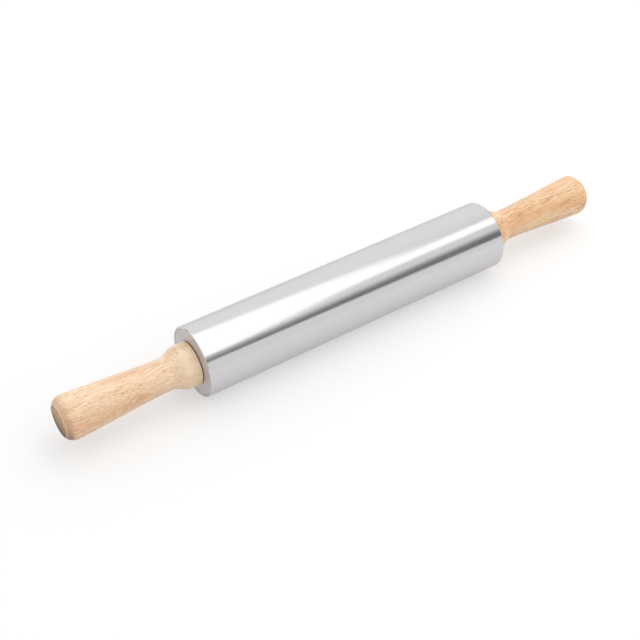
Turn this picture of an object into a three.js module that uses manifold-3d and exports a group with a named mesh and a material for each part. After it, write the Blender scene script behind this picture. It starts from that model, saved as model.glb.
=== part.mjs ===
// Stainless steel rolling pin: a hollow steel barrel that turns on two ball bearings about a fixed steel axle,
// with a turned wooden handle screwed onto each end of the axle.
// Millimetres. The origin is the middle of the barrel on its axis, +X runs along the axle and +Z is up.
// The left end is the -X end. Both ends are the same, so one function builds an end and is used twice.
import * as THREE from "three";
import { mergeVertices } from "three/addons/utils/BufferGeometryUtils.js";
import Module from "manifold-3d";

const wasm = await Module();
wasm.setup();

// Barrel and its end caps
const barrelLength = 250;
const barrelDiameter = 51;
const barrelWall = 1.5;
const barrelEdgeRadius = 0.7;
const capSheet = 1.5;
const capRecess = 0.2;
const capSkirtLength = 12;
const capBendRadius = 1.2;
const capRimRadius = 0.4;

// Ball bearing, one in each cap. These sizes give the common 8 x 22 x 7 mm bearing with 5/32 inch balls.
const bearingBore = 8;
const bearingSetback = 0.3;
const ballDiameter = 3.969;
const ballCount = 7;
const raceBackThickness = 1.3655;
const raceLandOffset = 1.5;
const shieldThickness = 0.35;
const shieldSetback = 0.25;
const cageThickness = 1.4;
const cageRimDepth = 0.6155;
const cagePocketDepth = 1;

// Axle and its hardware
const axleSetback = 0.05;
const axleChamfer = 0.8;
const snapRingThickness = 0.9;
const snapRingRadialWidth = 1.7;
const snapRingMouthAngle = 0.6;
const snapGrooveDepth = 0.35;
const washerDiameter = 16;
const washerThickness = 1.6;
const nutAcrossFlats = 13;
const nutThickness = 4;

// Turned handle and the barbed insert pressed into it
const handleLength = 96.6;
const handleGap = 0.4;
const collarDiameter = 31;
const collarLength = 7.6;
const collarEdgeRadius = 0.8;
const flareLength = 12.2;
const flarePull = 4.5;
const neckDiameter = 22.9;
const gripDiameter = 31.1;
const gripEndRadius = 5.8;
const gripHollow = 14;
const insertLength = 20;
const insertDiameter = 12.4;
const insertBarbs = 3;
const insertBarbDepth = 0.5;
const boreRunOut = 4;
const drillPointDepth = 2;

// Clearances
const pressGap = 0.05;
const seatGap = 0.05;
const rollingGap = 0.15;
const shieldGap = 0.3;
const counterboreGap = 1;

// Facets round each turned piece, and steps along each curve of the handle
const barrelFacets = 48;
const handleFacets = 32;
const smallFacets = 24;
const raceFacets = 3 * ballCount;
const ballFacets = 8;
const handleArcSteps = 6;

// Bearing sizes that follow from what is inside it
const ballRadius = ballDiameter / 2;
const grooveRadius = ballRadius + rollingGap;
const pitchRadius = bearingBore / 2 + raceBackThickness + grooveRadius;
const bearingRadius = pitchRadius + grooveRadius + raceBackThickness;
const cageRimPlace = grooveRadius + cageRimDepth;
const bearingWidth = 2 * (cageRimPlace + rollingGap + shieldThickness + shieldSetback);

// Axial places on one end, measured outwards from the middle of the barrel
const barrelEnd = barrelLength / 2;
const capFace = barrelEnd - capRecess;
const bearingOuterFace = capFace - bearingSetback;
const bearingMiddle = bearingOuterFace - bearingWidth / 2;
const bearingInnerFace = bearingOuterFace - bearingWidth;
const pocketFloor = bearingInnerFace - seatGap;
const snapRingOuterFace = bearingInnerFace - seatGap;
const snapRingInnerFace = snapRingOuterFace - snapRingThickness;
const washerInnerFace = bearingOuterFace + seatGap;
const washerOuterFace = washerInnerFace + washerThickness;
const nutInnerFace = washerOuterFace + seatGap;
const nutOuterFace = nutInnerFace + nutThickness;
const handleFace = barrelEnd + handleGap;
const handleTip = handleFace + handleLength;
const counterboreFloor = Math.max(nutOuterFace, handleFace) + seatGap;
const insertInnerFace = counterboreFloor;
const insertOuterFace = insertInnerFace + insertLength;
const axleEnd = insertOuterFace - axleSetback;
const boreEnd = insertOuterFace + boreRunOut;

// Radius of a faceted hole's corners that puts its flats at the radius asked for
function holeCorner(radius, facets) {
  return radius / Math.cos(Math.PI / facets);
}

// Radii shared by pieces that fit each other
const tubeInnerRadius = barrelDiameter / 2 - barrelWall;
const axleRadius = bearingBore / 2 - pressGap;
const threadRadius = holeCorner(axleRadius + pressGap, smallFacets);
const innerLandRadius = pitchRadius - raceLandOffset;
const outerLandRadius = pitchRadius + raceLandOffset;
const pocketRadius = holeCorner(bearingRadius + pressGap, barrelFacets);
const nutCornerRadius = nutAcrossFlats / Math.sqrt(3);
const counterboreRadius = Math.max(washerDiameter / 2, nutCornerRadius) + counterboreGap;
const insertBoreRadius = holeCorner(insertDiameter / 2 + pressGap, handleFacets);

const steel = (color, roughness) => new THREE.MeshStandardMaterial({ color, roughness, metalness: 1 });
const materials = {
  barrelSteel: steel(0xd9d8da, 0.16),
  capSteel: steel(0xc9c7c6, 0.28),
  bearingSteel: steel(0xb9bbbe, 0.22),
  ballSteel: steel(0xdfe1e4, 0.08),
  platedSteel: steel(0xb4b7ba, 0.35),
  brass: steel(0xc9a24e, 0.32),
  nylon: new THREE.MeshStandardMaterial({ color: 0xe9e4d6, roughness: 0.55, metalness: 0 }),
  wood: new THREE.MeshStandardMaterial({ color: 0xecc89f, roughness: 0.5, metalness: 0 }),
};

// Builds a solid of revolution from a profile of (radius, height) drawn counter-clockwise.
// The half-step start puts a flat, and not an edge, at the top and the bottom.
function turned(profile, facets, arcSteps = 2) {
  return new THREE.LatheGeometry(profile.getPoints(arcSteps), facets, Math.PI / facets);
}

function ring(innerRadius, outerRadius, low, high) {
  return new THREE.Path()
    .moveTo(innerRadius, low)
    .lineTo(outerRadius, low)
    .lineTo(outerRadius, high)
    .lineTo(innerRadius, high)
    .lineTo(innerRadius, low);
}

// The closed surface of a geometry as a manifold-3d solid, with shared vertices merged
function solidOf(geometry) {
  const bare = geometry.clone();
  bare.deleteAttribute("normal");
  bare.deleteAttribute("uv");
  const merged = mergeVertices(bare, 1e-4);
  const mesh = new wasm.Mesh({
    numProp: 3,
    vertProperties: new Float32Array(merged.attributes.position.array),
    triVerts: new Uint32Array(merged.index.array),
  });
  return new wasm.Manifold(mesh);
}

function geometryOf(solid) {
  const mesh = solid.getMesh();
  return new THREE.BufferGeometry()
    .setAttribute("position", new THREE.BufferAttribute(new Float32Array(mesh.vertProperties), 3))
    .setIndex(new THREE.BufferAttribute(new Uint32Array(mesh.triVerts), 1));
}

// Straight tube with its outer edges eased
function barrelTube() {
  const outer = barrelDiameter / 2;
  const edge = barrelEdgeRadius;
  const profile = new THREE.Path()
    .moveTo(tubeInnerRadius, -barrelEnd)
    .lineTo(outer - edge, -barrelEnd)
    .absarc(outer - edge, edge - barrelEnd, edge, -Math.PI / 2, 0)
    .lineTo(outer, barrelEnd - edge)
    .absarc(outer - edge, barrelEnd - edge, edge, 0, Math.PI / 2)
    .lineTo(tubeInnerRadius, barrelEnd)
    .lineTo(tubeInnerRadius, -barrelEnd);
  return turned(profile, barrelFacets);
}

// Cap drawn from one sheet: a flat face, a skirt that fits inside the tube and a bearing pocket with a floor lip
function endCap() {
  const skirtOuter = tubeInnerRadius - pressGap;
  const skirtInner = skirtOuter - capSheet;
  const pocketOuter = pocketRadius + capSheet;
  const underFace = capFace - capSheet;
  const skirtEnd = capFace - capSkirtLength;
  const bend = capBendRadius;
  const rim = capRimRadius;
  const profile = new THREE.Path()
    .moveTo(outerLandRadius, pocketFloor - capSheet)
    .lineTo(pocketOuter, pocketFloor - capSheet)
    .lineTo(pocketOuter, underFace - bend)
    .absarc(pocketOuter + bend, underFace - bend, bend, Math.PI, Math.PI / 2, true)
    .lineTo(skirtInner - bend, underFace)
    .absarc(skirtInner - bend, underFace - bend, bend, Math.PI / 2, 0, true)
    .lineTo(skirtInner, skirtEnd)
    .lineTo(skirtOuter, skirtEnd)
    .lineTo(skirtOuter, capFace - rim)
    .absarc(skirtOuter - rim, capFace - rim, rim, 0, Math.PI / 2)
    .lineTo(pocketRadius + rim, capFace)
    .absarc(pocketRadius + rim, capFace - rim, rim, Math.PI / 2, Math.PI)
    .lineTo(pocketRadius, pocketFloor)
    .lineTo(outerLandRadius, pocketFloor)
    .lineTo(outerLandRadius, pocketFloor - capSheet);
  return turned(profile, barrelFacets, 1);
}

// Half the width of the ball groove where it meets a land, and the angle that its arc spans there
const grooveHalfWidth = Math.sqrt(grooveRadius ** 2 - raceLandOffset ** 2);
const grooveAngle = Math.atan2(grooveHalfWidth, raceLandOffset);

function outerRace() {
  const profile = new THREE.Path()
    .moveTo(outerLandRadius, bearingInnerFace)
    .lineTo(bearingRadius, bearingInnerFace)
    .lineTo(bearingRadius, bearingOuterFace)
    .lineTo(outerLandRadius, bearingOuterFace)
    .lineTo(outerLandRadius, bearingMiddle + grooveHalfWidth)
    .absarc(pitchRadius, bearingMiddle, grooveRadius, grooveAngle, -grooveAngle, true)
    .lineTo(outerLandRadius, bearingInnerFace);
  return turned(profile, raceFacets);
}

function innerRace() {
  const raceBore = holeCorner(bearingBore / 2, raceFacets);
  const profile = new THREE.Path()
    .moveTo(raceBore, bearingInnerFace)
    .lineTo(innerLandRadius, bearingInnerFace)
    .lineTo(innerLandRadius, bearingMiddle - grooveHalfWidth)
    .absarc(pitchRadius, bearingMiddle, grooveRadius, Math.PI + grooveAngle, Math.PI - grooveAngle, true)
    .lineTo(innerLandRadius, bearingOuterFace)
    .lineTo(raceBore, bearingOuterFace)
    .lineTo(raceBore, bearingInnerFace);
  return turned(profile, raceFacets);
}

function shield(low) {
  return turned(
    ring(innerLandRadius + shieldGap, outerLandRadius - pressGap, low, low + shieldThickness),
    raceFacets,
  );
}

// Place of a ball on the pitch circle of the bearing, whose axis is Y
function ballPlace(index) {
  const angle = (index * 2 * Math.PI) / ballCount;
  return new THREE.Vector3(pitchRadius * Math.sin(angle), bearingMiddle, pitchRadius * Math.cos(angle));
}

// Crown cage: a ring with a round pocket for each ball, open towards the barrel's middle
function bearingCage() {
  const body = ring(
    pitchRadius - cageThickness / 2,
    pitchRadius + cageThickness / 2,
    bearingMiddle - cagePocketDepth,
    bearingMiddle + cageRimPlace,
  );
  let cage = solidOf(turned(body, raceFacets));
  for (let index = 0; index < ballCount; index++) {
    const place = ballPlace(index);
    const pocket = new THREE.SphereGeometry(grooveRadius, ballFacets, ballFacets - 2);
    cage = cage.subtract(solidOf(pocket.translate(place.x, place.y, place.z)));
  }
  return geometryOf(cage);
}

// Full-length rod with a snap ring groove inside each bearing and chamfered ends
function axleRod() {
  const groove = axleRadius - snapGrooveDepth;
  const grooveInner = snapRingInnerFace - seatGap;
  const grooveOuter = snapRingOuterFace + seatGap;
  const profile = new THREE.Path()
    .moveTo(0, -axleEnd)
    .lineTo(axleRadius - axleChamfer, -axleEnd)
    .lineTo(axleRadius, axleChamfer - axleEnd)
    .lineTo(axleRadius, -grooveOuter)
    .lineTo(groove, -grooveOuter)
    .lineTo(groove, -grooveInner)
    .lineTo(axleRadius, -grooveInner)
    .lineTo(axleRadius, grooveInner)
    .lineTo(groove, grooveInner)
    .lineTo(groove, grooveOuter)
    .lineTo(axleRadius, grooveOuter)
    .lineTo(axleRadius, axleEnd - axleChamfer)
    .lineTo(axleRadius - axleChamfer, axleEnd)
    .lineTo(0, axleEnd);
  return turned(profile, smallFacets);
}

// Turns a flat outline, extruded along Z, so that it stands along Y between two heights
function standing(shape, low, high, curveSegments) {
  return new THREE.ExtrudeGeometry(shape, { depth: high - low, bevelEnabled: false, curveSegments })
    .rotateX(-Math.PI / 2)
    .translate(0, low, 0);
}

// Open spring-steel ring that sits in the axle's groove
function snapRing() {
  const inner = axleRadius - snapGrooveDepth + pressGap;
  const outer = inner + snapRingRadialWidth;
  const mouth = snapRingMouthAngle / 2;
  const shape = new THREE.Shape()
    .absarc(0, 0, outer, mouth, 2 * Math.PI - mouth)
    .absarc(0, 0, inner, 2 * Math.PI - mouth, mouth, true);
  return standing(shape, snapRingInnerFace, snapRingOuterFace, smallFacets / 2);
}

function thrustWasher() {
  return turned(ring(threadRadius, washerDiameter / 2, washerInnerFace, washerOuterFace), smallFacets);
}

function jamNut() {
  const shape = new THREE.Shape();
  for (let corner = 0; corner < 6; corner++) {
    const angle = (corner * Math.PI) / 3;
    const point = [nutCornerRadius * Math.cos(angle), nutCornerRadius * Math.sin(angle)];
    corner === 0 ? shape.moveTo(...point) : shape.lineTo(...point);
  }
  shape.closePath();
  shape.holes.push(new THREE.Path().absarc(0, 0, threadRadius, 0, 2 * Math.PI));
  return standing(shape, nutInnerFace, nutOuterFace, smallFacets / 2);
}

// Tapped sleeve with sawtooth barbs that grip the wood
function threadedInsert() {
  const outer = insertDiameter / 2;
  const pitch = insertLength / insertBarbs;
  const profile = new THREE.Path().moveTo(threadRadius, insertInnerFace).lineTo(outer, insertInnerFace);
  for (let barb = 1; barb <= insertBarbs; barb++) {
    const top = insertInnerFace + barb * pitch;
    profile.lineTo(outer - insertBarbDepth, top);
    if (barb < insertBarbs) profile.lineTo(outer, top);
  }
  profile.lineTo(threadRadius, insertOuterFace).lineTo(threadRadius, insertInnerFace);
  return turned(profile, smallFacets);
}

// Turned wood: collar, flare, neck, swelling grip and rounded tip, bored from the collar's face
function handle() {
  const collar = collarDiameter / 2;
  const neck = neckDiameter / 2;
  const grip = gripDiameter / 2;
  const boreRadius = holeCorner(threadRadius, handleFacets);
  const collarEnd = handleFace + collarLength;
  const neckPlace = collarEnd + flareLength;
  const gripEnd = handleTip - gripEndRadius;
  const gripSlope = (grip - neck) / (gripEnd - neckPlace);
  const gripRun = (gripEnd - neckPlace) / 2;
  const profile = new THREE.Path()
    .moveTo(0, boreEnd + drillPointDepth)
    .lineTo(boreRadius, boreEnd)
    .lineTo(boreRadius, insertOuterFace + seatGap)
    .lineTo(insertBoreRadius, insertOuterFace + seatGap)
    .lineTo(insertBoreRadius, counterboreFloor)
    .lineTo(counterboreRadius, counterboreFloor)
    .lineTo(counterboreRadius, handleFace)
    .lineTo(collar - collarEdgeRadius, handleFace)
    .quadraticCurveTo(collar, handleFace, collar, handleFace + collarEdgeRadius)
    .lineTo(collar, collarEnd)
    .bezierCurveTo(collar, collarEnd + flarePull, neck, neckPlace - flarePull, neck, neckPlace)
    .bezierCurveTo(neck, neckPlace + gripHollow, grip - gripSlope * gripRun, gripEnd - gripRun, grip, gripEnd)
    .absarc(grip - gripEndRadius, gripEnd, gripEndRadius, 0, Math.PI / 2)
    .lineTo(0, handleTip);
  return turned(profile, handleFacets, handleArcSteps);
}

const pin = new THREE.Group();

function add(group, name, geometry, material) {
  const mesh = new THREE.Mesh(geometry, material);
  mesh.name = name;
  group.add(mesh);
  return mesh;
}

// One end of the pin, built along +Y
function end(side) {
  const group = new THREE.Group();
  const outerShieldPlace = bearingOuterFace - shieldSetback - shieldThickness;
  const innerShieldPlace = bearingInnerFace + shieldSetback;
  add(group, `${side}_end_cap`, endCap(), materials.capSteel);
  add(group, `${side}_bearing_outer_race`, outerRace(), materials.bearingSteel);
  add(group, `${side}_bearing_inner_race`, innerRace(), materials.bearingSteel);
  add(group, `${side}_bearing_outer_shield`, shield(outerShieldPlace), materials.bearingSteel);
  add(group, `${side}_bearing_inner_shield`, shield(innerShieldPlace), materials.bearingSteel);
  add(group, `${side}_bearing_cage`, bearingCage(), materials.nylon);
  for (let index = 0; index < ballCount; index++) {
    const ball = new THREE.SphereGeometry(ballRadius, ballFacets, ballFacets - 2);
    add(group, `${side}_bearing_ball_${index + 1}`, ball, materials.ballSteel).position.copy(ballPlace(index));
  }
  add(group, `${side}_snap_ring`, snapRing(), materials.platedSteel);
  add(group, `${side}_thrust_washer`, thrustWasher(), materials.platedSteel);
  add(group, `${side}_jam_nut`, jamNut(), materials.platedSteel);
  add(group, `${side}_threaded_insert`, threadedInsert(), materials.brass);
  add(group, `${side}_handle`, handle(), materials.wood);
  return group;
}

// A quarter turn about Z lays the Y axis along +X for the right end, or along -X for the left end
const barrel = new THREE.Group();
add(barrel, "barrel_tube", barrelTube(), materials.barrelSteel);
add(barrel, "axle_rod", axleRod(), materials.platedSteel);
const rightEnd = end("right");
const leftEnd = end("left");
barrel.rotation.z = -Math.PI / 2;
rightEnd.rotation.z = -Math.PI / 2;
leftEnd.rotation.z = Math.PI / 2;
pin.add(barrel, rightEnd, leftEnd);

export default pin;
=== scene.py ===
"""Looks of a stainless steel rolling pin with turned wooden handles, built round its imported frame.

Metres, in the frame's own axes: the axle lies along X, the left end is -X and the pin rests on its barrel.
"""
import math

import bmesh
import bpy
from mathutils import Matrix, Vector

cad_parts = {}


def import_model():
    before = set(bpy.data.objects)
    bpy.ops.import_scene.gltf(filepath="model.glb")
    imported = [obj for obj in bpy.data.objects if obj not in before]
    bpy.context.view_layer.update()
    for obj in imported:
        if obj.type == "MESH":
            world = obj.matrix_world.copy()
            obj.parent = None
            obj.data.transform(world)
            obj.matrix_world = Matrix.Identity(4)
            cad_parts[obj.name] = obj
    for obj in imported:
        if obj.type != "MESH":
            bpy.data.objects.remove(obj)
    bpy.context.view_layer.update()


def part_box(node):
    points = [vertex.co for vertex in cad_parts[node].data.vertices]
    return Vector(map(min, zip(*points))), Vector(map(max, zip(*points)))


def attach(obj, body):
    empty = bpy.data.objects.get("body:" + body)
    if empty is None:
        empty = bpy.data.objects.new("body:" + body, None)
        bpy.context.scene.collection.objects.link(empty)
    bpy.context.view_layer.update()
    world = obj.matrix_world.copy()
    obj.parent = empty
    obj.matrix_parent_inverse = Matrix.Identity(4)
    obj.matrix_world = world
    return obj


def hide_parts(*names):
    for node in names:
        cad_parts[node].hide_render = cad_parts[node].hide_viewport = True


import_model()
MM = 0.001
SIDES = {"left": -1, "right": 1}

# Barrel and caps
BARREL_RADIUS = 25.5 * MM
BARREL_WALL = 1.5 * MM
BARREL_EDGE = 0.8 * MM
CAP_SHEET = 1.5 * MM
CAP_BEND = 1.2 * MM
CAP_RIM = 0.4 * MM
CAP_CROWN = 0.15 * MM
PRESS_GAP = 0.05 * MM

# Ball bearing
BEARING_BORE = 4.0 * MM
BEARING_RADIUS = 11.0 * MM
PITCH_RADIUS = 7.5 * MM
BALL_RADIUS = 1.9845 * MM
BALL_COUNT = 7
ROLLING_GAP = 0.15 * MM
RACE_LAND = 1.5 * MM
RACE_EDGE = 0.3 * MM
CAGE_HALF_WALL = 0.7 * MM
CAGE_EDGE = 0.15 * MM
SHIELD_INNER = 6.3 * MM
SHIELD_STEP = 0.12 * MM

# Axle and hardware
AXLE_RADIUS = 3.95 * MM
AXLE_CHAMFER = 0.8 * MM
AXLE_GROOVE = 3.6 * MM
THREAD_BORE = 4.03 * MM
THREAD_PITCH = 1.25 * MM
THREAD_DEPTH = 0.6 * MM
THREAD_RUN = 24 * MM
THREAD_STEPS = 8
SNAP_INNER_RADIUS = 3.65 * MM
SNAP_OUTER_RADIUS = 5.35 * MM
SNAP_HALF_MOUTH = 0.3
LUG_RADIUS = 1.0 * MM
LUG_HOLE = 0.45 * MM
WASHER_RADIUS = 8.0 * MM
WASHER_EDGE = 0.2 * MM
HEXAGON_WEDGE = math.pi / 3
NUT_FLAT = 6.5 * MM
NUT_CHAMFER = 0.9 * MM
NUT_CHAMFER_ANGLE = math.radians(30)
NUT_CHAMFER_STEPS = 5
NUT_BORE_CHAMFER = 0.5 * MM

# Handle and the barbed insert in it
COLLAR_RADIUS = 15.5 * MM
COLLAR_LENGTH = 7.6 * MM
COLLAR_EDGE = 0.25 * MM
FLARE_LENGTH = 12.2 * MM
FLARE_PULL = 4.5 * MM
NECK_RADIUS = 11.45 * MM
GRIP_RADIUS = 15.55 * MM
GRIP_SHOULDER = 7.9 * MM
SHOULDER_TURN = math.radians(65)
END_FACE_EDGE = 1.2 * MM
GRIP_HOLLOW = 14 * MM
COUNTERBORE = 9.0 * MM
COUNTERBORE_EDGE = 0.3 * MM
INSERT_RADIUS = 6.2 * MM
BARB_DEPTH = 0.5 * MM
BARBS = 3
BORE_RUN_OUT = 4 * MM
DRILL_POINT = 2 * MM

# Mesh fineness
LATHE_PATH = 10 * MM
ARC_STEPS = 8
CURVE_STEPS = 28
EDGE_SUPPORT = 0.05 * MM
BARREL_SEGMENTS = 256
HANDLE_SEGMENTS = 160
SMALL_SEGMENTS = 96
BALL_SEGMENTS = 40
SHARP_ANGLE = math.radians(35)
WELD = 0.001 * MM

# Surfaces: the height of their relief, and the values between which most of a noise lies
FINE_RELIEF = 0.02 * MM
WOOD_RELIEF = 0.1 * MM
NOISE_RANGE = (0.3, 0.7)

# Node kinds that are used most
MATH = "ShaderNodeMath"
VECTOR_MATH = "ShaderNodeVectorMath"
MAP_RANGE = "ShaderNodeMapRange"
NOISE = "ShaderNodeTexNoise"
COLOUR_RAMP = "ShaderNodeValToRGB"

# Camera that matches the photograph, which is 640 x 640
IMAGE_SIZE = 640
FOCAL_PIXELS = 1186.8
SENSOR = 36
CLIP_START = 0.01
VIEW_AZIMUTH = math.radians(-34.0)
VIEW_ELEVATION = math.radians(41.63)
VIEW_DISTANCE = 844.2 * MM
AIM_RIGHT = -18.4 * MM
AIM_UP = -18.2 * MM

# Studio
FLOOR_HEIGHT = -BARREL_RADIUS
FLOOR_HALF = 3.0
FLOOR_LIFT = 0.39
FILL_LEFT = 0.58
FILL_RIGHT = 1.33
TENT_BACK = 1.15
TENT_BACK_FULL = 0.5
CEILING = 1.0
SOFTBOX_GLOW = 1.7
SOFTBOX_MARGIN = 0.15
SOFTBOX_CORNERS = [
    (0.1, 0.95), (0.1, -0.9), (0.38, -0.9), (0.47, -0.42),
    (0.95, -0.42), (0.95, -0.14), (0.58, -0.14), (0.42, 0.33),
]
PANEL_DISTANCE = 1.5
PANEL_DARK = 0.23
PANEL_FADE = (0.75, 1.65)
FRONT_PANEL = [(0, 0.99), (1.6, 0.18), (2.4, 0.18), (2.4, 1.65), (0, 1.65)]
SIDE_PANEL = [(0.2, 0.2), (1.4, 0.2), (1.4, 1.2), (0.2, 1.2)]


def span(node):
    """Where a node of the right end starts and stops along the axle."""
    low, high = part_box(node)
    return low.x, high.x


BARREL_FACE = span("barrel_tube")[1]
AXLE_FACE = span("axle_rod")[1]
SKIRT_FACE, CAP_FACE = span("right_end_cap")
BEARING_IN, BEARING_OUT = span("right_bearing_outer_race")
BEARING_MIDDLE = (BEARING_IN + BEARING_OUT) / 2
CAGE_IN, CAGE_OUT = span("right_bearing_cage")
SNAP_IN, SNAP_OUT = span("right_snap_ring")
WASHER_IN, WASHER_OUT = span("right_thrust_washer")
NUT_IN, NUT_OUT = span("right_jam_nut")
INSERT_IN, INSERT_OUT = span("right_threaded_insert")
HANDLE_FACE, HANDLE_TIP = span("right_handle")


# Outlines of turned pieces, as corners (x, radius, rounding)

def rounded(corners, closed=False):
    """Points (x, radius) through the corners, with an arc at each rounded one, and whether they close."""
    points = []
    for index, (x, radius, rounding) in enumerate(corners):
        corner = Vector((x, radius))
        if rounding == 0:
            points.append(corner)
            continue
        following = corners[(index + 1) % len(corners)]
        before = (Vector(corners[index - 1][:2]) - corner).normalized()
        after = (Vector(following[:2]) - corner).normalized()
        half = before.angle(after) / 2
        reach = rounding / math.tan(half)
        centre = corner + (before + after).normalized() * rounding / math.sin(half)
        start = corner + before * reach - centre
        turn = -start.angle_signed(corner + after * reach - centre)
        points.append(corner + before * (reach + EDGE_SUPPORT))
        for step in range(ARC_STEPS + 1):
            points.append(centre + Matrix.Rotation(turn * step / ARC_STEPS, 2) @ start)
        points.append(corner + after * (reach + EDGE_SUPPORT))
    return [tuple(point) for point in points], closed


def curve(*knots):
    """Corners without rounding along a cubic curve, its two ends left out."""
    knots = [Vector(knot) for knot in knots]
    corners = []
    for step in range(1, CURVE_STEPS):
        t = step / CURVE_STEPS
        weights = ((1 - t) ** 3, 3 * t * (1 - t) ** 2, 3 * t * t * (1 - t), t ** 3)
        x, radius = sum((weight * knot for weight, knot in zip(weights, knots)), Vector((0, 0)))
        corners.append((x, radius, 0))
    return corners


def ring_outline(low, high, inner, outer, rounding):
    corners = [(low, inner), (low, outer), (high, outer), (high, inner)]
    return rounded([(*corner, rounding) for corner in corners], closed=True)


def barrel_outline():
    inner = BARREL_RADIUS - BARREL_WALL
    corners = [
        (-BARREL_FACE, inner, CAP_RIM),
        (-BARREL_FACE, BARREL_RADIUS, BARREL_EDGE),
        (BARREL_FACE, BARREL_RADIUS, BARREL_EDGE),
        (BARREL_FACE, inner, CAP_RIM),
    ]
    return rounded(corners, closed=True)


def cap_outline():
    """One drawn sheet: a slightly crowned face, a skirt in the tube and a bearing pocket with a lip."""
    skirt = BARREL_RADIUS - BARREL_WALL - PRESS_GAP
    pocket = BEARING_RADIUS + PRESS_GAP
    floor = BEARING_IN - PRESS_GAP
    lip = PITCH_RADIUS + RACE_LAND
    corners = [
        (SKIRT_FACE, skirt, CAP_RIM),
        (CAP_FACE, skirt, CAP_RIM),
        (CAP_FACE + CAP_CROWN, pocket, CAP_RIM),
        (floor, pocket, PRESS_GAP),
        (floor, lip, CAP_RIM),
        (floor - CAP_SHEET, lip, CAP_RIM),
        (floor - CAP_SHEET, pocket + CAP_SHEET, CAP_BEND),
        (CAP_FACE - CAP_SHEET, pocket + CAP_SHEET, CAP_BEND),
        (CAP_FACE - CAP_SHEET, skirt - CAP_SHEET, CAP_BEND),
        (SKIRT_FACE, skirt - CAP_SHEET, CAP_RIM),
    ]
    return rounded(corners, closed=True)


def race_outline(plain, land):
    """A race from its plain side to its land, with a groove that is an arc round the ball."""
    groove = BALL_RADIUS + ROLLING_GAP
    half_angle = math.acos(RACE_LAND / groove)
    towards = math.copysign(groove, land - PITCH_RADIUS)
    corners = [(BEARING_IN, plain, RACE_EDGE), (BEARING_IN, land, RACE_EDGE)]
    for step in range(2 * ARC_STEPS + 1):
        angle = half_angle * (step / ARC_STEPS - 1)
        x = BEARING_MIDDLE + groove * math.sin(angle)
        corners.append((x, PITCH_RADIUS + towards * math.cos(angle), 0))
    corners += [(BEARING_OUT, land, RACE_EDGE), (BEARING_OUT, plain, RACE_EDGE)]
    return rounded(corners, closed=True)


def shield_outline(low, high, step):
    """Thin pressed washer whose inner half is stepped along the axle."""
    outer = PITCH_RADIUS + RACE_LAND - PRESS_GAP
    bend = PITCH_RADIUS + SHIELD_STEP
    corners = [
        (low, outer, 0),
        (high, outer, 0),
        (high, bend, 0),
        (high + step, PITCH_RADIUS, 0),
        (high + step, SHIELD_INNER, 0),
        (low + step, SHIELD_INNER, 0),
        (low + step, PITCH_RADIUS, 0),
        (low, bend, 0),
    ]
    return rounded(corners, closed=True)


def axle_outline():
    """Half of the rod from its middle, mirrored. Close steps along each end let the thread be cut."""
    half = [
        (SNAP_IN - PRESS_GAP, AXLE_RADIUS, 0),
        (SNAP_IN - PRESS_GAP, AXLE_GROOVE, 0),
        (SNAP_OUT + PRESS_GAP, AXLE_GROOVE, 0),
        (SNAP_OUT + PRESS_GAP, AXLE_RADIUS, 0),
    ]
    thread_start = AXLE_FACE - THREAD_RUN
    steps = round((THREAD_RUN - AXLE_CHAMFER) / THREAD_PITCH * THREAD_STEPS)
    for step in range(steps):
        half.append((thread_start + step * THREAD_PITCH / THREAD_STEPS, AXLE_RADIUS, 0))
    half += [
        (AXLE_FACE - AXLE_CHAMFER, AXLE_RADIUS, 0),
        (AXLE_FACE, AXLE_RADIUS - AXLE_CHAMFER, 0),
        (AXLE_FACE, 0, 0),
    ]
    mirrored = [(-x, radius, rounding) for x, radius, rounding in reversed(half)]
    return rounded(mirrored + half)


def nut_outline():
    """Round blank over the nut's corners, with chamfers at both ends. Its flats are cut afterwards."""
    corner = NUT_FLAT / math.cos(HEXAGON_WEDGE / 2)
    chamfer = []
    for step in range(NUT_CHAMFER_STEPS + 1):
        drop = NUT_CHAMFER * (1 - step / NUT_CHAMFER_STEPS)
        chamfer.append((drop * math.tan(NUT_CHAMFER_ANGLE), corner - drop))
    corners = [
        (NUT_IN + NUT_BORE_CHAMFER, THREAD_BORE, 0),
        (NUT_IN, THREAD_BORE + NUT_BORE_CHAMFER, 0),
    ]
    corners += [(NUT_IN + depth, radius, 0) for depth, radius in chamfer]
    corners += [(NUT_OUT - depth, radius, 0) for depth, radius in reversed(chamfer)]
    corners += [
        (NUT_OUT, THREAD_BORE + NUT_BORE_CHAMFER, 0),
        (NUT_OUT - NUT_BORE_CHAMFER, THREAD_BORE, 0),
    ]
    return rounded(corners, closed=True)


def insert_outline():
    """Sleeve with sawtooth barbs that let it in and hold it back."""
    pitch = (INSERT_OUT - INSERT_IN) / BARBS
    corners = [(INSERT_IN, THREAD_BORE, 0)]
    for barb in range(BARBS):
        corners.append((INSERT_IN + barb * pitch, INSERT_RADIUS, 0))
        corners.append((INSERT_IN + (barb + 1) * pitch, INSERT_RADIUS - BARB_DEPTH, 0))
    corners.append((INSERT_OUT, THREAD_BORE, 0))
    return rounded(corners, closed=True)


def handle_bore():
    """From the drill's point, past the insert, to the mouth of the counterbore."""
    bore_end = INSERT_OUT + BORE_RUN_OUT
    bore = AXLE_RADIUS + 2 * PRESS_GAP
    insert_bore = INSERT_RADIUS + PRESS_GAP
    return [
        (bore_end + DRILL_POINT, 0, 0),
        (bore_end, bore, 0),
        (INSERT_OUT + PRESS_GAP, bore, 0),
        (INSERT_OUT + PRESS_GAP, insert_bore, 0),
        (INSERT_IN, insert_bore, 0),
        (INSERT_IN, COUNTERBORE, 0),
        (HANDLE_FACE, COUNTERBORE, COUNTERBORE_EDGE),
    ]


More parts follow.
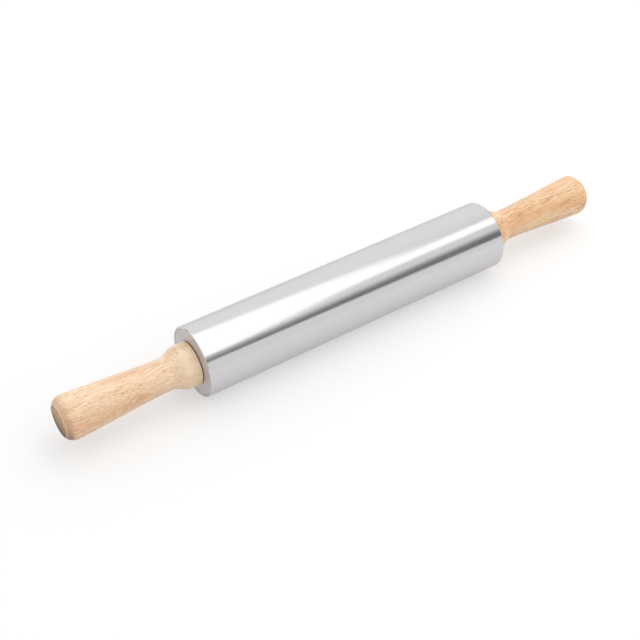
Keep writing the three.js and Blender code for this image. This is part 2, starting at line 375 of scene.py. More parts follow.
def handle_end(grip_end):
    """Round shoulder that stops short of a right angle, at the crisp edge of a flat end face."""
    middle = GRIP_RADIUS - GRIP_SHOULDER
    corners = []
    for step in range(ARC_STEPS):
        angle = SHOULDER_TURN * step / ARC_STEPS
        x = grip_end + GRIP_SHOULDER * math.sin(angle)
        corners.append((x, middle + GRIP_SHOULDER * math.cos(angle), 0))
    corners.append((HANDLE_TIP, middle + GRIP_SHOULDER * math.cos(SHOULDER_TURN), END_FACE_EDGE))
    corners.append((HANDLE_TIP, 0, 0))
    return corners


def handle_outline():
    """From the bottom of the bore, over the collar, flare, neck and grip, to the middle of the flat end."""
    collar_end = HANDLE_FACE + COLLAR_LENGTH
    neck = collar_end + FLARE_LENGTH
    grip_end = HANDLE_TIP - GRIP_SHOULDER * math.sin(SHOULDER_TURN)
    grip_run = (grip_end - neck) / 2
    half_way = (GRIP_RADIUS + NECK_RADIUS) / 2
    corners = handle_bore()
    corners.append((HANDLE_FACE, COLLAR_RADIUS, COLLAR_EDGE))
    corners.append((collar_end, COLLAR_RADIUS, 0))
    corners += curve(
        (collar_end, COLLAR_RADIUS),
        (collar_end + FLARE_PULL, COLLAR_RADIUS),
        (neck - FLARE_PULL, NECK_RADIUS),
        (neck, NECK_RADIUS),
    )
    corners.append((neck, NECK_RADIUS, 0))
    corners += curve(
        (neck, NECK_RADIUS),
        (neck + GRIP_HOLLOW, NECK_RADIUS),
        (grip_end - grip_run, half_way),
        (grip_end, GRIP_RADIUS),
    )
    return rounded(corners + handle_end(grip_end))


# Nodes, and the trees that make and cut the pieces

def linear(code):
    """Linear RGBA of an sRGB hex code."""
    channels = [int(code[place:place + 2], 16) / 255 for place in (0, 2, 4)]
    return [c / 12.92 if c <= 0.04045 else ((c + 0.055) / 1.055) ** 2.4 for c in channels] + [1]


def add_node(tree, kind, inputs=(), stops=(), **settings):
    """Adds a node, sets its properties, sets or links its inputs, and gives its outputs.

    Inputs are named or in the node's own order. Stops are hex codes, spread evenly along a colour ramp.
    """
    made = tree.nodes.new(kind)
    for name, value in settings.items():
        setattr(made, name, value)
    for _ in stops[2:]:
        made.color_ramp.elements.new(0.5)
    for index, code in enumerate(stops):
        made.color_ramp.elements[index].position = index / (len(stops) - 1)
        made.color_ramp.elements[index].color = linear(code)
    for key, value in inputs.items() if isinstance(inputs, dict) else enumerate(inputs):
        if isinstance(value, bpy.types.NodeSocket):
            tree.links.new(value, made.inputs[key])
        else:
            made.inputs[key].default_value = value
    return made.outputs


def open_tree(name, **sizes):
    """A geometry tree with a named input for each size, and the sockets that give them."""
    tree = bpy.data.node_groups.new(name, "GeometryNodeTree")
    kinds = {"Geometry": "NodeSocketGeometry", **sizes, "Material": "NodeSocketMaterial"}
    for size, kind in kinds.items():
        tree.interface.new_socket(size, in_out="INPUT", socket_type=kind)
    tree.interface.new_socket("Geometry", in_out="OUTPUT", socket_type="NodeSocketGeometry")
    return tree, add_node(tree, "NodeGroupInput")


def close_tree(tree, given, geometry):
    """Ends a tree: real geometry, one material, output."""
    real = add_node(tree, "GeometryNodeRealizeInstances", (geometry,))
    painted = add_node(
        tree,
        "GeometryNodeSetMaterial",
        {"Geometry": real["Geometry"], "Material": given["Material"]},
    )
    add_node(tree, "NodeGroupOutput", {"Geometry": painted["Geometry"]})
    return tree


def lathe_tree():
    """Sweeps an outline round a path circle and lays the result along the X axis."""
    tree, given = open_tree("turn_on_lathe", Segments="NodeSocketInt")
    outline = add_node(tree, "GeometryNodeMeshToCurve", {"Mesh": given["Geometry"]})
    path = add_node(
        tree,
        "GeometryNodeCurvePrimitiveCircle",
        {"Resolution": given["Segments"], "Radius": LATHE_PATH},
    )
    swept = add_node(
        tree,
        "GeometryNodeCurveToMesh",
        {"Curve": path["Curve"], "Profile Curve": outline["Curve"]},
    )
    welded = add_node(
        tree,
        "GeometryNodeMergeByDistance",
        {"Geometry": swept["Mesh"], "Distance": WELD},
    )
    laid = add_node(
        tree,
        "GeometryNodeTransform",
        {"Geometry": welded["Geometry"], "Rotation": (0, math.pi / 2, 0)},
    )
    return close_tree(tree, given, laid["Geometry"])


def balls_on_circle(tree, given):
    """A ball at each corner of a circle round the X axis, the first one straight up."""
    circle = add_node(
        tree,
        "GeometryNodeMeshCircle",
        {"Vertices": given["Count"], "Radius": given["Pitch Radius"]},
    )
    place = add_node(tree, "ShaderNodeCombineXYZ", {"X": given["Along"]})
    stood = add_node(
        tree,
        "GeometryNodeTransform",
        {
            "Geometry": circle["Mesh"],
            "Translation": place["Vector"],
            "Rotation": (0, -math.pi / 2, 0),
        },
    )
    ball = add_node(
        tree,
        "GeometryNodeMeshUVSphere",
        {"Segments": BALL_SEGMENTS, "Rings": BALL_SEGMENTS // 2, "Radius": given["Ball Radius"]},
    )
    placed = add_node(
        tree,
        "GeometryNodeInstanceOnPoints",
        {"Points": stood["Geometry"], "Instance": ball["Mesh"]},
    )
    return placed["Instances"]


BALL_SIZES = {
    "Count": "NodeSocketInt",
    "Pitch Radius": "NodeSocketFloat",
    "Ball Radius": "NodeSocketFloat",
    "Along": "NodeSocketFloat",
}


def ball_ring_tree():
    tree, given = open_tree("ball_ring", **BALL_SIZES)
    return close_tree(tree, given, balls_on_circle(tree, given))


def cage_tree():
    """Cuts a round pocket for each ball out of a ring."""
    tree, given = open_tree("cut_ball_pockets", **BALL_SIZES)
    balls = add_node(tree, "GeometryNodeRealizeInstances", (balls_on_circle(tree, given),))
    cut = add_node(
        tree,
        "GeometryNodeMeshBoolean",
        {"Mesh 1": given["Geometry"], "Mesh 2": balls["Geometry"]},
        operation="DIFFERENCE",
        solver="EXACT",
    )
    welded = add_node(
        tree,
        "GeometryNodeMergeByDistance",
        {"Geometry": cut["Mesh"], "Distance": WELD},
    )
    return close_tree(tree, given, welded["Geometry"])


def round_axle(tree):
    """Where a point lies: its place along the axle, its distance from it and its angle round it."""
    place = add_node(tree, "GeometryNodeInputPosition")["Position"]
    axes = add_node(tree, "ShaderNodeSeparateXYZ", (place,))
    across = add_node(tree, MATH, (axes["Y"], axes["Y"]), operation="MULTIPLY")[0]
    squares = add_node(tree, MATH, (axes["Z"], axes["Z"], across), operation="MULTIPLY_ADD")[0]
    radius = add_node(tree, MATH, (squares,), operation="SQRT")[0]
    angle = add_node(tree, MATH, (axes["Z"], axes["Y"]), operation="ARCTAN2")[0]
    return axes["X"], radius, angle


def pulled_in(tree, given, share):
    """Moves each point to a share of its distance from the axle."""
    shares = add_node(tree, "ShaderNodeCombineXYZ", (1.0, share, share))["Vector"]
    place = add_node(tree, "GeometryNodeInputPosition")["Position"]
    moved = add_node(tree, VECTOR_MATH, (place, shares), operation="MULTIPLY")["Vector"]
    inputs = {"Geometry": given["Geometry"], "Position": moved}
    return add_node(tree, "GeometryNodeSetPosition", inputs)["Geometry"]


def hexagon_tree():
    """Cuts six flats round a blank, at a distance from its axis."""
    tree, given = open_tree("cut_hexagon", Flat="NodeSocketFloat")
    _, radius, angle = round_axle(tree)
    in_wedge = add_node(tree, MATH, (angle, HEXAGON_WEDGE), operation="FLOORED_MODULO")[0]
    from_flat = add_node(tree, MATH, (in_wedge, HEXAGON_WEDGE / 2), operation="SUBTRACT")[0]
    lean = add_node(tree, MATH, (from_flat,), operation="COSINE")[0]
    limit = add_node(tree, MATH, (given["Flat"], lean), operation="DIVIDE")[0]
    kept = add_node(tree, MATH, (limit, radius), operation="DIVIDE")[0]
    share = add_node(tree, MATH, (kept, 1.0), operation="MINIMUM")[0]
    return close_tree(tree, given, pulled_in(tree, given, share))


def thread_tree():
    """Cuts a right-hand thread into the outside of a rod, from a distance along it to each end."""
    sizes = {name: "NodeSocketFloat" for name in ("Pitch", "Depth", "Start", "Rod Radius")}
    tree, given = open_tree("cut_thread", **sizes)
    along, radius, angle = round_axle(tree)
    turns = add_node(tree, MATH, (angle, 2 * math.pi), operation="DIVIDE")[0]
    pitches = add_node(tree, MATH, (along, given["Pitch"]), operation="DIVIDE")[0]
    phase = add_node(tree, MATH, (pitches, turns), operation="SUBTRACT")[0]
    half_wave = add_node(tree, MATH, (phase, 0.5), operation="PINGPONG")[0]
    wave = add_node(tree, MATH, (half_wave, 2.0), operation="MULTIPLY")[0]
    depth = add_node(tree, MATH, (wave, given["Depth"]), operation="MULTIPLY")[0]
    from_middle = add_node(tree, MATH, (along,), operation="ABSOLUTE")[0]
    on_end = add_node(tree, MATH, (from_middle, given["Start"]), operation="GREATER_THAN")[0]
    skin = add_node(tree, MATH, (given["Rod Radius"], PRESS_GAP), operation="SUBTRACT")[0]
    on_skin = add_node(tree, MATH, (radius, skin), operation="GREATER_THAN")[0]
    threaded = add_node(tree, MATH, (on_end, on_skin), operation="MULTIPLY")[0]
    cut = add_node(tree, MATH, (depth, threaded), operation="MULTIPLY")[0]
    never_zero = add_node(tree, MATH, (radius, PRESS_GAP), operation="MAXIMUM")[0]
    lost = add_node(tree, MATH, (cut, never_zero), operation="DIVIDE")[0]
    share = add_node(tree, MATH, (1.0, lost), operation="SUBTRACT")[0]
    return close_tree(tree, given, pulled_in(tree, given, share))


LATHE = lathe_tree()
BALL_RING = ball_ring_tree()
CUT_POCKETS = cage_tree()
CUT_HEXAGON = hexagon_tree()
CUT_THREAD = thread_tree()


# Meshes and pieces

def input_key(tree, name):
    """The identifier of a tree's input, by which a modifier is set."""
    for socket in tree.interface.items_tree:
        if socket.in_out == "INPUT" and socket.name == name:
            return socket.identifier
    raise KeyError(name)


def made_mesh(holder):
    """The plain mesh that an object comes to. The object itself is removed."""
    bpy.context.scene.collection.objects.link(holder)
    evaluated = holder.evaluated_get(bpy.context.evaluated_depsgraph_get())
    mesh = bpy.data.meshes.new_from_object(evaluated)
    bpy.data.objects.remove(holder)
    return mesh


def grown(mesh, tree, sizes):
    """The plain mesh that a tree makes of another mesh."""
    holder = bpy.data.objects.new(tree.name, mesh)
    modifier = holder.modifiers.new(tree.name, "NODES")
    modifier.node_group = tree
    for name, value in sizes.items():
        modifier[input_key(tree, name)] = value
    result = made_mesh(holder)
    bpy.data.meshes.remove(mesh)
    return result


def turned(outline, material, sign=1, segments=SMALL_SEGMENTS):
    """A mesh turned on the lathe from an outline of (x, radius) points, mirrored for the left end."""
    points, closed = outline
    places = [(radius - LATHE_PATH, -sign * x, 0) for x, radius in points]
    edges = [(index, index + 1) for index in range(len(places) - 1)]
    if closed:
        edges.append((len(places) - 1, 0))
    mesh = bpy.data.meshes.new("outline")
    mesh.from_pydata(places, edges, [])
    return grown(mesh, LATHE, {"Segments": segments, "Material": material})


def place_piece(name, mesh, body, slot, *nodes):
    """Makes a finished mesh a piece: faces outwards, edges shaded, on its body in place of its nodes."""
    shape = bmesh.new()
    shape.from_mesh(mesh)
    bmesh.ops.recalc_face_normals(shape, faces=shape.faces)
    shape.to_mesh(mesh)
    shape.free()
    mesh.shade_smooth()
    mesh.set_sharp_from_angle(angle=SHARP_ANGLE)
    mesh.name = name
    piece = bpy.data.objects.new(name, mesh)
    bpy.context.scene.collection.objects.link(piece)
    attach(piece, body)
    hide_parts(*nodes)


# Metals and plastic

def new_material(name, **surface):
    """A material with one principled shader, whose constants are set straight on its sockets."""
    material = bpy.data.materials.new(name)
    material.use_nodes = True
    shader = material.node_tree.nodes["Principled BSDF"]
    for socket, value in surface.items():
        shader.inputs[socket.replace("_", " ")].default_value = value
    return material, material.node_tree, shader


def finish_surface(tree, shader, colour, roughness, height, strength, depth):
    bump = add_node(
        tree,
        "ShaderNodeBump",
        {"Height": height, "Strength": strength, "Distance": depth},
    )
    tree.links.new(colour, shader.inputs["Base Color"])
    tree.links.new(roughness, shader.inputs["Roughness"])
    tree.links.new(bump["Normal"], shader.inputs["Normal"])


def gloss(tree, pattern, at_low, at_high):
    """Roughness that follows a pattern, from one value where it is low to another where it is high."""
    return add_node(tree, MAP_RANGE, (pattern, *NOISE_RANGE, at_low, at_high))["Result"]


def lathe_marks(tree, spacing):
    """Fine marks of a lathe or grinding wheel: rings along the axle and circles on the end faces."""
    place = add_node(tree, "ShaderNodeTexCoord")["Object"]
    along = add_node(tree, "ShaderNodeSeparateXYZ", (place,))["X"]
    across = add_node(tree, VECTOR_MATH, (place, (0, 1, 1)), operation="MULTIPLY")["Vector"]
    radius = add_node(tree, VECTOR_MATH, (across,), operation="LENGTH")["Value"]
    both = add_node(tree, MATH, (along, radius), operation="ADD")[0]
    inputs = {"W": both, "Scale": 1 / spacing, "Detail": 4.0}
    return add_node(tree, NOISE, inputs, noise_dimensions="1D")["Fac"]


def cloudy(tree, size, detail=3.0):
    """Soft blotches of a size, the same in every direction."""
    place = add_node(tree, "ShaderNodeTexCoord")["Object"]
    return add_node(tree, NOISE, {"Vector": place, "Scale": 1 / size, "Detail": detail})["Fac"]


def patterned(tree, shader, pattern, tones, smooth, rough, strength):
    """Finishes a surface whose colour, gloss and, faintly, height all follow one pattern."""
    colour = add_node(tree, COLOUR_RAMP, (pattern,), stops=tones)["Color"]
    roughness = gloss(tree, pattern, smooth, rough)
    finish_surface(tree, shader, colour, roughness, pattern, strength, FINE_RELIEF)


def machined(name, spacing, **finish):
    """A bare metal that shows its lathe marks."""
    material, tree, shader = new_material(name, Metallic=1.0)
    patterned(tree, shader, lathe_marks(tree, spacing), **finish)
    return material


def ground_stainless():
    """Stainless tube, centreless ground and polished: an even grey mirror, a little clouded by handling.

    Real grinding marks are far finer than a pixel, so they are drawn 0.7 mm apart and faint.
    """
    material, tree, shader = new_material(
        "ground_stainless", Metallic=1.0, Specular_Tint=linear("ededed")
    )
    smear_range = (0.35, 0.75)
    most_smear = 0.04
    marks = lathe_marks(tree, spacing=0.7 * MM)
    clouds = cloudy(tree, size=30 * MM)
    colour = add_node(tree, COLOUR_RAMP, (clouds,), stops=("cbc9ca", "cfcdce"))["Color"]
    polish = gloss(tree, marks, at_low=0.1, at_high=0.15)
    smear = add_node(tree, MAP_RANGE, (clouds, *smear_range, 0.0, most_smear))["Result"]
    roughness = add_node(tree, MATH, (polish, smear), operation="ADD")[0]
    finish_surface(tree, shader, colour, roughness, marks, strength=0.02, depth=FINE_RELIEF)
    return material


def pressed_stainless():
    """Stainless sheet, drawn in a press and left dull: soft grey with a tint of the wood beside it."""
    return machined(
        "pressed_stainless",
        spacing=0.6 * MM,
        tones=("c8c6c6", "d4d2d2"),
        smooth=0.56,
        rough=0.66,
        strength=0.05,
    )


def ground_bearing_steel():
    """Hardened chrome steel, ground: cool grey with tight fine rings."""
    return machined(
        "ground_bearing_steel",
        spacing=0.12 * MM,
        tones=("b0b2b5", "c2c4c7"),
        smooth=0.16,
        rough=0.28,
        strength=0.05,
    )


def lapped_ball_steel():
    """Hardened chrome steel, lapped: the brightest metal here, almost a mirror."""
    return machined(
        "lapped_ball_steel",
        spacing=0.5 * MM,
        tones=("dcdee1", "e2e4e7"),
        smooth=0.05,
        rough=0.09,
        strength=0.01,
    )


def turned_brass():
    """Free-cutting brass off the lathe: warm yellow with clear tool rings."""
    return machined(
        "turned_brass",
        spacing=0.25 * MM,
        tones=("bd9444", "d2ad5a"),
        smooth=0.24,
        rough=0.38,
        strength=0.1,
    )


def zinc_plated_steel():
    """Mild steel with bright zinc: blue-grey with a cloudy bloom."""
    material, tree, shader = new_material("zinc_plated_steel", Metallic=1.0)
    bloom = cloudy(tree, size=1.5 * MM, detail=4.0)
    tones = ("a9acb0", "bcc0c4")
    patterned(tree, shader, bloom, tones, smooth=0.26, rough=0.42, strength=0.08)
    return material


def moulded_nylon():
    """Natural nylon from a mould: milky cream, dull, with a slight orange peel."""
    material, tree, shader = new_material("moulded_nylon", IOR=1.53)
    peel = cloudy(tree, size=0.4 * MM)
    tones = ("e4dfd0", "ece7da")
    patterned(tree, shader, peel, tones, smooth=0.45, rough=0.6, strength=0.1)
    return material


# Wood of the handles

def wavy_grain(tree, place):
    """Places that sway a little across the grain, so that no streak runs quite straight."""
    sway = (0, 4 * MM, 4 * MM)
    run = 60 * MM
    drift = add_node(tree, NOISE, {"Vector": place, "Scale": 1 / run, "Detail": 1.0})
    return add_node(tree, VECTOR_MATH, (drift["Color"], sway, place), operation="MULTIPLY_ADD")["Vector"]


def along_grain(tree, wavy, length, width):
    """Places counted in marks of a length along the grain and a width across it."""
    marks = (1 / length, 1 / width, 1 / width)
    return add_node(tree, "ShaderNodeMapping", {"Vector": wavy, "Scale": marks})["Vector"]


def streaks(tree, wavy, length, width, detail):
    place = along_grain(tree, wavy, length, width)
    return add_node(tree, NOISE, {"Vector": place, "Scale": 1.0, "Detail": detail})["Fac"]


def wood_tone(tree, bands, grain, fibre):
    """From 0 in the darkest streaks to 1 in the palest."""
    grain_weight = 1.1
    darkest, palest = 1.2, 1.9
    coarse = add_node(tree, MATH, (grain, grain_weight, bands), operation="MULTIPLY_ADD")[0]
    whole = add_node(tree, MATH, (fibre, coarse), operation="ADD")[0]
    return add_node(tree, MAP_RANGE, (whole, darkest, palest))["Result"]


def blank_colour(tree, x, on_right, tone):
    """Two blanks of wood: the left one pinker, and paler towards its neck as painted light against the
    shade beside the barrel; the right one warmer.
    """
    grip, neck = -170 * MM, -130 * MM
    painted_light_at_neck = 0.38
    to_neck = add_node(tree, MAP_RANGE, (x, grip, neck))["Result"]
    # Painted light: the left blank is paled towards its neck, where the barrel and collar shade it.
    left_tone = add_node(tree, MATH, (to_neck, painted_light_at_neck, tone), operation="MULTIPLY_ADD")[0]
    left = add_node(tree, COLOUR_RAMP, (left_tone,), stops=("dca87c", "f2cea9", "ffe5c6"))["Color"]
    right = add_node(tree, COLOUR_RAMP, (tone,), stops=("cd9060", "efc79a", "f9dfbc"))["Color"]
    inputs = {"Factor": on_right, "A": left, "B": right}
    return add_node(tree, "ShaderNodeMix", inputs, data_type="RGBA")["Result"]


def warm_layer(tree, wavy, on_right):
    """A growth layer of warmer wood that lies through the right handle, square to one direction."""
    direction = (0, 0.592, 0.806)
    middle = 2.3 * MM
    core, edge = 2 * MM, 7 * MM
    strength = 0.32
    height = add_node(tree, VECTOR_MATH, (wavy, direction), operation="DOT_PRODUCT")["Value"]
    above = add_node(tree, MATH, (height, middle), operation="SUBTRACT")[0]
    distance = add_node(tree, MATH, (above,), operation="ABSOLUTE")[0]
    inside = add_node(tree, MAP_RANGE, (distance, core, edge, strength, 0.0))["Result"]
    return add_node(tree, MATH, (inside, on_right), operation="MULTIPLY")[0], linear("dc9a5a")


def blush(tree, wavy):
    """Wide soft patches of pinker wood."""
    start, full = 0.5, 0.75
    strength = 0.5
    patches = streaks(tree, wavy, length=45 * MM, width=14 * MM, detail=1.0)
    return add_node(tree, MAP_RANGE, (patches, start, full, 0.0, strength))["Result"], linear("e9b58f")


def pore_depth(tree, wavy):
    """From 0 on plain wood to 1 in a pore. Pores are of many sizes and crowd together in places."""
    crowding_weight = 1.6
    none, most = 1.0, 2.0
    widest = 0.4
    soft_edge = 0.12
    place = along_grain(tree, wavy, length=4.5 * MM, width=0.9 * MM)
    cells = add_node(tree, "ShaderNodeTexVoronoi", {"Vector": place, "Scale": 1.0})
    chance = add_node(tree, "ShaderNodeSeparateColor", (cells["Color"],))[0]
    crowding = streaks(tree, wavy, length=24 * MM, width=9 * MM, detail=1.0)
    likely = add_node(tree, MATH, (crowding, crowding_weight, chance), operation="MULTIPLY_ADD")[0]
    reach = add_node(tree, MAP_RANGE, (likely, none, most, 0.0, widest))["Result"]
    inside = add_node(tree, MATH, (reach, cells["Distance"]), operation="SUBTRACT")[0]
    return add_node(tree, MAP_RANGE, (inside, 0.0, soft_edge))["Result"]


def gap_shade_tint(tree, normal, on_right):
    """Wood that faces the barrel, behind the collar, coloured darker and redder: painted shade that browns
    the gap between the collar and the cap.
    """
    start, full = -0.1, -0.5
    strength = 0.95
    facing = add_node(tree, "ShaderNodeSeparateXYZ", (normal,))["X"]
    side = add_node(tree, MATH, (on_right, 2.0, -1.0), operation="MULTIPLY_ADD")[0]
    outwards = add_node(tree, MATH, (facing, side), operation="MULTIPLY")[0]
    # Painted shade: the back of the collar is tinted so that the shaded gap beside the cap looks brown.
    return add_node(tree, MAP_RANGE, (outwards, start, full, 0.0, strength))["Result"], linear("c8691f")


def end_layers(tree, from_end, on_end, height, tone):
    """Shoulder stain, end grain and a paler edge. Painted shade darkens the shoulder and the end grain
    towards the low side, and the pale edge is a painted highlight that fades lower down.
    """
    high, low = 5 * MM, -10 * MM
    shoulder_start, shoulder_full = 5 * MM, 2.5 * MM
    edge_place, edge_half, edge_reach = 0.4 * MM, 0.1 * MM, 0.4 * MM
    warm_at_top, warm_gain = 0.25, 0.2
    most_dark = 0.8
    highlight_at_top, highlight_gain = 0.6, -0.55
    shade_at_top, grain_gain = 0.15, -0.3
    # Painted shade: 0 at the top to 1 on the low side, where the shoulder and end grain are darkened.
    low_side = add_node(tree, MAP_RANGE, (height, high, low))["Result"]
    shoulder = add_node(tree, MAP_RANGE, (from_end, shoulder_start, shoulder_full))["Result"]
    warm = add_node(tree, MATH, (low_side, warm_gain, warm_at_top), operation="MULTIPLY_ADD")[0]
    dark = add_node(tree, MATH, (low_side, most_dark), operation="MULTIPLY")[0]
    painted_highlight = add_node(tree, MATH, (low_side, highlight_gain, highlight_at_top), operation="MULTIPLY_ADD")[0]
    end_shade = add_node(tree, MATH, (low_side, shade_at_top), operation="ADD")[0]
    end_tone = add_node(tree, MATH, (tone, grain_gain, end_shade), operation="MULTIPLY_ADD")[0]
    # End grain is darker than the side, and its darkest stop is painted shade on the low side.
    end_grain_and_shade = add_node(tree, COLOUR_RAMP, (end_tone,), stops=("c9a074", "9c7550", "4a2c08"))["Color"]
    # Painted highlight: a thin pale ring just inside the end face's edge, strongest at the top.
    past_edge = add_node(tree, MATH, (from_end, edge_place), operation="SUBTRACT")[0]
    off_edge = add_node(tree, MATH, (past_edge,), operation="ABSOLUTE")[0]
    on_edge = add_node(tree, MAP_RANGE, (off_edge, edge_half, edge_reach, 1.0, 0.0))["Result"]
    return [
        # Shoulder: a warm stain that deepens towards the low side, partly painted shade, then painted shade
        # in dark brown.
        (add_node(tree, MATH, (shoulder, warm), operation="MULTIPLY")[0], linear("c1803f")),
        (add_node(tree, MATH, (shoulder, dark), operation="MULTIPLY")[0], linear("3a2008")),
        (on_end, end_grain_and_shade),
        # The painted highlight on the edge, fading towards the low side.
        (add_node(tree, MATH, (on_edge, painted_highlight), operation="MULTIPLY")[0], linear("fbdcb4")),
    ]


def lacquered_rubberwood():
    """Rubberwood turned and lacquered: pale straw to pink, long fine grain, short dark pores, satin.

    The end faces show darker, duller end grain, with painted shade towards the low side and a painted
    highlight along their edge. Pores are drawn about twice as wide as real ones, so that they show from a
    step away.
    """
    material, tree, shader = new_material(
        "lacquered_rubberwood", Coat_Weight=0.2, Coat_Roughness=0.25, IOR=1.5
    )
    change_over = 1 * MM
    end_start, end_full = 0.1 * MM, 0.03 * MM
    pore_shade, pore_dip = 0.5, -0.6
    end_dullness = 0.3
    coordinates = add_node(tree, "ShaderNodeTexCoord")
    axes = add_node(tree, "ShaderNodeSeparateXYZ", (coordinates["Object"],))
    on_right = add_node(tree, MAP_RANGE, (axes["X"], -change_over, change_over))["Result"]
    along = add_node(tree, MATH, (axes["X"],), operation="ABSOLUTE")[0]
    from_end = add_node(tree, MATH, (HANDLE_TIP, along), operation="SUBTRACT")[0]
    on_end = add_node(tree, MAP_RANGE, (from_end, end_start, end_full))["Result"]
    wavy = wavy_grain(tree, coordinates["Object"])
    bands = streaks(tree, wavy, length=60 * MM, width=6 * MM, detail=2.0)
    grain = streaks(tree, wavy, length=11 * MM, width=0.75 * MM, detail=3.0)
    fibre = streaks(tree, wavy, length=3 * MM, width=0.4 * MM, detail=2.0)
    tone = wood_tone(tree, bands, grain, fibre)
    pores = pore_depth(tree, wavy)
    layers = [
        warm_layer(tree, wavy, on_right),
        blush(tree, wavy),
        (add_node(tree, MATH, (pores, pore_shade), operation="MULTIPLY")[0], linear("96592a")),
        gap_shade_tint(tree, coordinates["Normal"], on_right),
        *end_layers(tree, from_end, on_end, axes["Z"], tone),
    ]
    colour = blank_colour(tree, axes["X"], on_right, tone)
    for factor, over in layers:
        inputs = {"Factor": factor, "A": colour, "B": over}
        colour = add_node(tree, "ShaderNodeMix", inputs, data_type="RGBA")["Result"]
    satin = gloss(tree, grain, at_low=0.52, at_high=0.42)
    roughness = add_node(tree, MATH, (on_end, end_dullness, satin), operation="MULTIPLY_ADD")[0]
    relief = add_node(tree, MATH, (pores, pore_dip, fibre), operation="MULTIPLY_ADD")[0]
    finish_surface(tree, shader, colour, roughness, relief, strength=0.12, depth=WOOD_RELIEF)
    return material


# Pieces of the pin

def barrel(steel):
    mesh = turned(barrel_outline(), steel, segments=BARREL_SEGMENTS)
    place_piece("polished_tube", mesh, "barrel", "barrel_steel", "barrel_tube")


def axle(zinc):
    sizes = {
        "Pitch": THREAD_PITCH,
        "Depth": THREAD_DEPTH,
        "Start": AXLE_FACE - THREAD_RUN,
        "Rod Radius": AXLE_RADIUS,
        "Material": zinc,
    }
    mesh = grown(turned(axle_outline(), zinc), CUT_THREAD, sizes)
    place_piece("threaded_axle", mesh, "axle_and_handles", "plated_steel", "axle_rod")


def cap(side, sign, steel):
    mesh = turned(cap_outline(), steel, sign, BARREL_SEGMENTS)
    place_piece(f"{side}_drawn_cap", mesh, "barrel", "cap_steel", f"{side}_end_cap")


def races(side, sign, steel):
    land = {"inner": PITCH_RADIUS - RACE_LAND, "outer": PITCH_RADIUS + RACE_LAND}
    plain = {"inner": BEARING_BORE, "outer": BEARING_RADIUS}
    body = {"inner": "axle_and_handles", "outer": "barrel"}
    for race in land:
        mesh = turned(race_outline(plain[race], land[race]), steel, sign)
        node = f"{side}_bearing_{race}_race"
        place_piece(f"{side}_ground_{race}_race", mesh, body[race], "bearing_steel", node)


def shields(side, sign, steel):
    for face, step in {"inner": -SHIELD_STEP, "outer": SHIELD_STEP}.items():
        low, high = span(f"right_bearing_{face}_shield")
        mesh = turned(shield_outline(low, high, step), steel, sign)
        node = f"{side}_bearing_{face}_shield"
        place_piece(f"{side}_pressed_{face}_shield", mesh, "barrel", "bearing_steel", node)


def balls_and_cage(side, sign, steel, nylon):
    sizes = {"Count": BALL_COUNT, "Pitch Radius": PITCH_RADIUS, "Along": sign * BEARING_MIDDLE}
    ball_sizes = {**sizes, "Ball Radius": BALL_RADIUS, "Material": steel}
    balls = grown(bpy.data.meshes.new("none"), BALL_RING, ball_sizes)
    nodes = [f"{side}_bearing_ball_{number}" for number in range(1, BALL_COUNT + 1)]
    place_piece(f"{side}_lapped_balls", balls, f"{side}_cage", "ball_steel", *nodes)

    inner, outer = PITCH_RADIUS - CAGE_HALF_WALL, PITCH_RADIUS + CAGE_HALF_WALL
    blank = turned(ring_outline(CAGE_IN, CAGE_OUT, inner, outer, CAGE_EDGE), nylon, sign)
    pocket_sizes = {**sizes, "Ball Radius": BALL_RADIUS + ROLLING_GAP, "Material": nylon}
    cage = grown(blank, CUT_POCKETS, pocket_sizes)
    place_piece(f"{side}_crown_cage", cage, f"{side}_cage", "nylon", f"{side}_bearing_cage")


def arc(centre, radius, start, end):
    """Points of an arc about a centre in a plane."""
    steps = max(ARC_STEPS, round(abs(end - start) / (2 * math.pi) * SMALL_SEGMENTS))
    angles = [start + (end - start) * step / steps for step in range(steps + 1)]
    return [(centre[0] + radius * math.cos(a), centre[1] + radius * math.sin(a)) for a in angles]


def snap_ring_loops():
    """Outline of an open ring with a lug on each side of its mouth, and the eye in each lug."""
    lug_place = SNAP_INNER_RADIUS + LUG_RADIUS
    lug_angle = SNAP_HALF_MOUTH + math.asin(LUG_RADIUS / lug_place)
    squares = SNAP_OUTER_RADIUS ** 2 - lug_place ** 2 - LUG_RADIUS ** 2
    meeting = math.acos(squares / (2 * lug_place * LUG_RADIUS))
    meet_angle = lug_angle + math.asin(LUG_RADIUS * math.sin(meeting) / SNAP_OUTER_RADIUS)
    lugs = [(lug_place * math.cos(a), lug_place * math.sin(a)) for a in (lug_angle, -lug_angle)]
    outline = arc((0, 0), SNAP_OUTER_RADIUS, meet_angle, 2 * math.pi - meet_angle)
    outline += arc(lugs[1], LUG_RADIUS, -lug_angle - meeting, math.pi - lug_angle)
    outline += arc((0, 0), SNAP_INNER_RADIUS, 2 * math.pi - lug_angle, lug_angle)
    outline += arc(lugs[0], LUG_RADIUS, lug_angle - math.pi, lug_angle + meeting)
    return [outline] + [arc(lug, LUG_HOLE, 0, 2 * math.pi) for lug in lugs]


def cut_from_sheet(name, loops, thickness):
    """A flat mesh of a thickness inside the first loop and outside the others."""
    data = bpy.data.curves.new(name, "CURVE")
    data.dimensions = "2D"
    data.fill_mode = "BOTH"
    data.extrude = thickness / 2
    for loop in loops:
        spline = data.splines.new("POLY")
        spline.points.add(len(loop) - 2)
        for point, (x, y) in zip(spline.points, loop):
            point.co = (x, y, 0, 1)
        spline.use_cyclic_u = True
    mesh = made_mesh(bpy.data.objects.new(name, data))
    shape = bmesh.new()
    shape.from_mesh(mesh)
    bmesh.ops.remove_doubles(shape, verts=shape.verts, dist=WELD)
    shape.to_mesh(mesh)
    shape.free()
    return mesh


